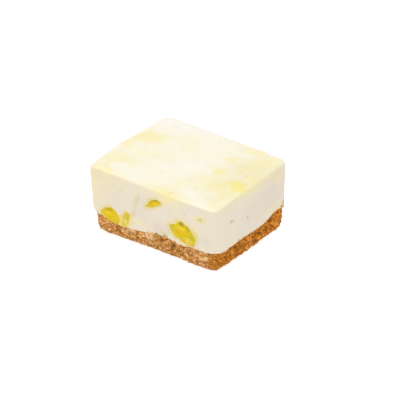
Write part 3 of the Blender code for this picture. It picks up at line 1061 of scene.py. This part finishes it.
def crumbMaterial(name, packed):
    values, steps = crumb, crumb["steps"]
    paint = Paint(name)
    speckle, patchy, clusters, hue = paint.noises(values["noises"])
    shade = paint.attribute("tone") * 0.60 + speckle * 0.40 + patchy * 0.30 + clusters * 0.80 - 0.555
    colour = paint.ramp(shade + paint.attribute("spots"), values["tones"])
    across = paint.node("ShaderNodeSeparateXYZ", inputs={0: paint.place})
    up = paint.node("ShaderNodeSeparateXYZ", inputs={0: paint.place}, output="Z")
    # painted shade, partly a browner crumb: the two short sides multiplied darker and browner
    colour = paint.mix(paint.step(abs(across), *steps["baked"]), colour, values["baked"], "MULTIPLY")
    # painted shade in the cracks and pits of the pressed base
    masks = [("crevice", paint.step(paint.attribute("crack"), *steps["crevice"]))] if packed else []
    masks += [
        ("browned", paint.step(hue, *steps["browned"])),
        ("damp", paint.step(paint.attribute("soaked") + speckle * 0.5, *steps["damp"])),
        ("lemon", paint.step(paint.attribute("run") + speckle * 0.5, *steps["lemon"])),
        # painted shade towards the floor
        ("foot", paint.step(up + patchy * (1.2 * mm), *steps["foot"])),
    ]
    colour = paint.layers(colour, values, masks)
    normal = paint.bump(speckle, *values["bump"])
    return paint.finish(colour, 0.75 + speckle * 0.2, normal, **values["finish"])


# Specks of zest in the cream: which way the face looks, the place on it and the size along it
# in mm, and a tone from brownish to yellow. On the front and back the place is (x, z), on the
# short sides (y, z), on the top (x, y).
zest = {
    "thickness": 0.22,  # as a share of the width
    "sink": 0.34,
    "turn": 0.3, "seed": 5,  # the most a speck is turned, in radians
    "tones": [(0.0, (0.66, 0.55, 0.42)), (0.5, (0.60, 0.53, 0.24)), (1.0, (0.74, 0.63, 0.28))],
    "specks": [
        ((0, -1, 0), (30.9, 30), (2.4, 1.2), 0.75),
        ((1, 0, 0), (-17.7, 25.7), (2.4, 1.5), 0.0),
        ((1, 0, 0), (-4.4, 22.2), (1.8, 1.3), 0.1),
        ((0, 0, 1), (32.4, 4.6), (1.1, 0.9), 0.7),
        ((0, 1, 0), (-12, 27), (2.4, 1.3), 0.4),
        ((0, 1, 0), (17, 30.5), (1.6, 1.2), 0.2),
        ((-1, 0, 0), (12, 24), (2, 1.3), 0.1),
        ((-1, 0, 0), (-14, 29.5), (1.4, 1), 0.6),
    ],
}


def makeZest(filling, shapes):
    values = zest
    tree = treeOf(filling.data)
    chance = random.Random(values["seed"])
    lumps = []
    for way, (first, second), (width, height), tone in values["specks"]:
        way = Vector(way)
        place = Vector((first, second, 0)) if way.z else Vector((0, 0, second))
        if not way.z:
            place[1 if way.x else 0] = first
        hit, normal = tree.ray_cast(place * mm + way * 0.1, -way)[:2]
        along = normal.orthogonal() if way.z else Vector((0, 0, 1)).cross(normal)
        along.normalize()
        axes = Matrix((along, normal.cross(along), normal)).transposed()
        depth = width * values["thickness"]
        points, faces = chance.choice(shapes)
        sized = points * (np.array((width, height, depth)) * mm)
        turn = Matrix.Rotation(chance.uniform(-values["turn"], values["turn"]), 3, "Z")
        centre = hit - normal * values["sink"] * depth * mm
        lumps.append((sized @ np.array(axes @ turn).T + np.array(centre), faces, tone))
    piece = joinLumps("zestSpecks", lumps)
    paint = Paint("lemonZest")
    tone = paint.attribute("tone") + paint.noise(1300.0, 2.0) * 0.5 - 0.25
    colour = paint.ramp(tone, values["tones"])
    finishPiece(piece, [], paint.finish(colour, 0.5, Specular_IOR_Level=0.2))


stage = {
    "floor": (0.38, 0.38, 0.378), "floorGlow": 0.80, "floorSize": 8.0, "sky": 0.75,
    "sun": 1.15, "sunWidth": 75.0, "sunTilt": 13.0, "sunTurn": 0.0,  # degrees
    "eye": (0.42933, -0.55695, 0.43924),
    "turn": 37.17, "rise": 31.11,  # the eye's azimuth and elevation
    "lens": 144.0,
}


def makeStage():
    values = stage
    bpy.ops.mesh.primitive_plane_add(size=values["floorSize"])
    floor = bpy.context.object
    floor.name = "floor"
    paint = Paint("paleFloor")
    glow = {"Emission_Color": (1.0, 1.0, 1.0, 1.0), "Emission_Strength": values["floorGlow"]}
    colour = (*values["floor"], 1.0)
    floor.data.materials.append(paint.finish(colour, 0.7, Specular_IOR_Level=0.2, **glow))

    world = bpy.data.worlds.new("whiteRoom")
    world.use_nodes = True
    background = world.node_tree.nodes["Background"]
    background.inputs["Color"].default_value = (1.0, 1.0, 1.0, 1.0)
    background.inputs["Strength"].default_value = values["sky"]
    bpy.context.scene.world = world

    bpy.ops.object.light_add(type="SUN", location=(0, 0, 1))
    light = bpy.context.object
    light.data.energy = values["sun"]
    light.data.angle = math.radians(values["sunWidth"])
    light.rotation_euler = (math.radians(values["sunTilt"]), 0.0, math.radians(values["sunTurn"]))

    turn = (math.radians(90.0 - values["rise"]), 0.0, math.radians(values["turn"]))
    bpy.ops.object.camera_add(location=values["eye"], rotation=turn)
    camera = bpy.context.object
    camera.data.lens = values["lens"]
    camera.data.sensor_width = 36.0
    camera.data.clip_start = 0.01
    bpy.context.scene.camera = camera
    bpy.context.scene.view_settings.view_transform = "Standard"


makeStage()
print("stage made")
filling = makeCream()
print("cream made")
curdPaint = curdMaterial()
for node in ribbons:
    makeCurd(node, curdPaint)
print("curd made")
base = makeBase()
print("base made")
grainPaint = crumbMaterial("looseCrumb", False)
grainShapes = crumbShapes(**crumb["shapes"])
scatter("crumbFine", grainShapes, sideSpots(base, crumb["fine"]), grainPaint)
scatter("crumbCoarse", grainShapes, sideSpots(base, crumb["coarse"]), grainPaint)
scatter("crumbClinging", grainShapes, clingingSpots(filling), grainPaint)
print("crumbs scattered")
makeZest(filling, grainShapes)
print("zest made")
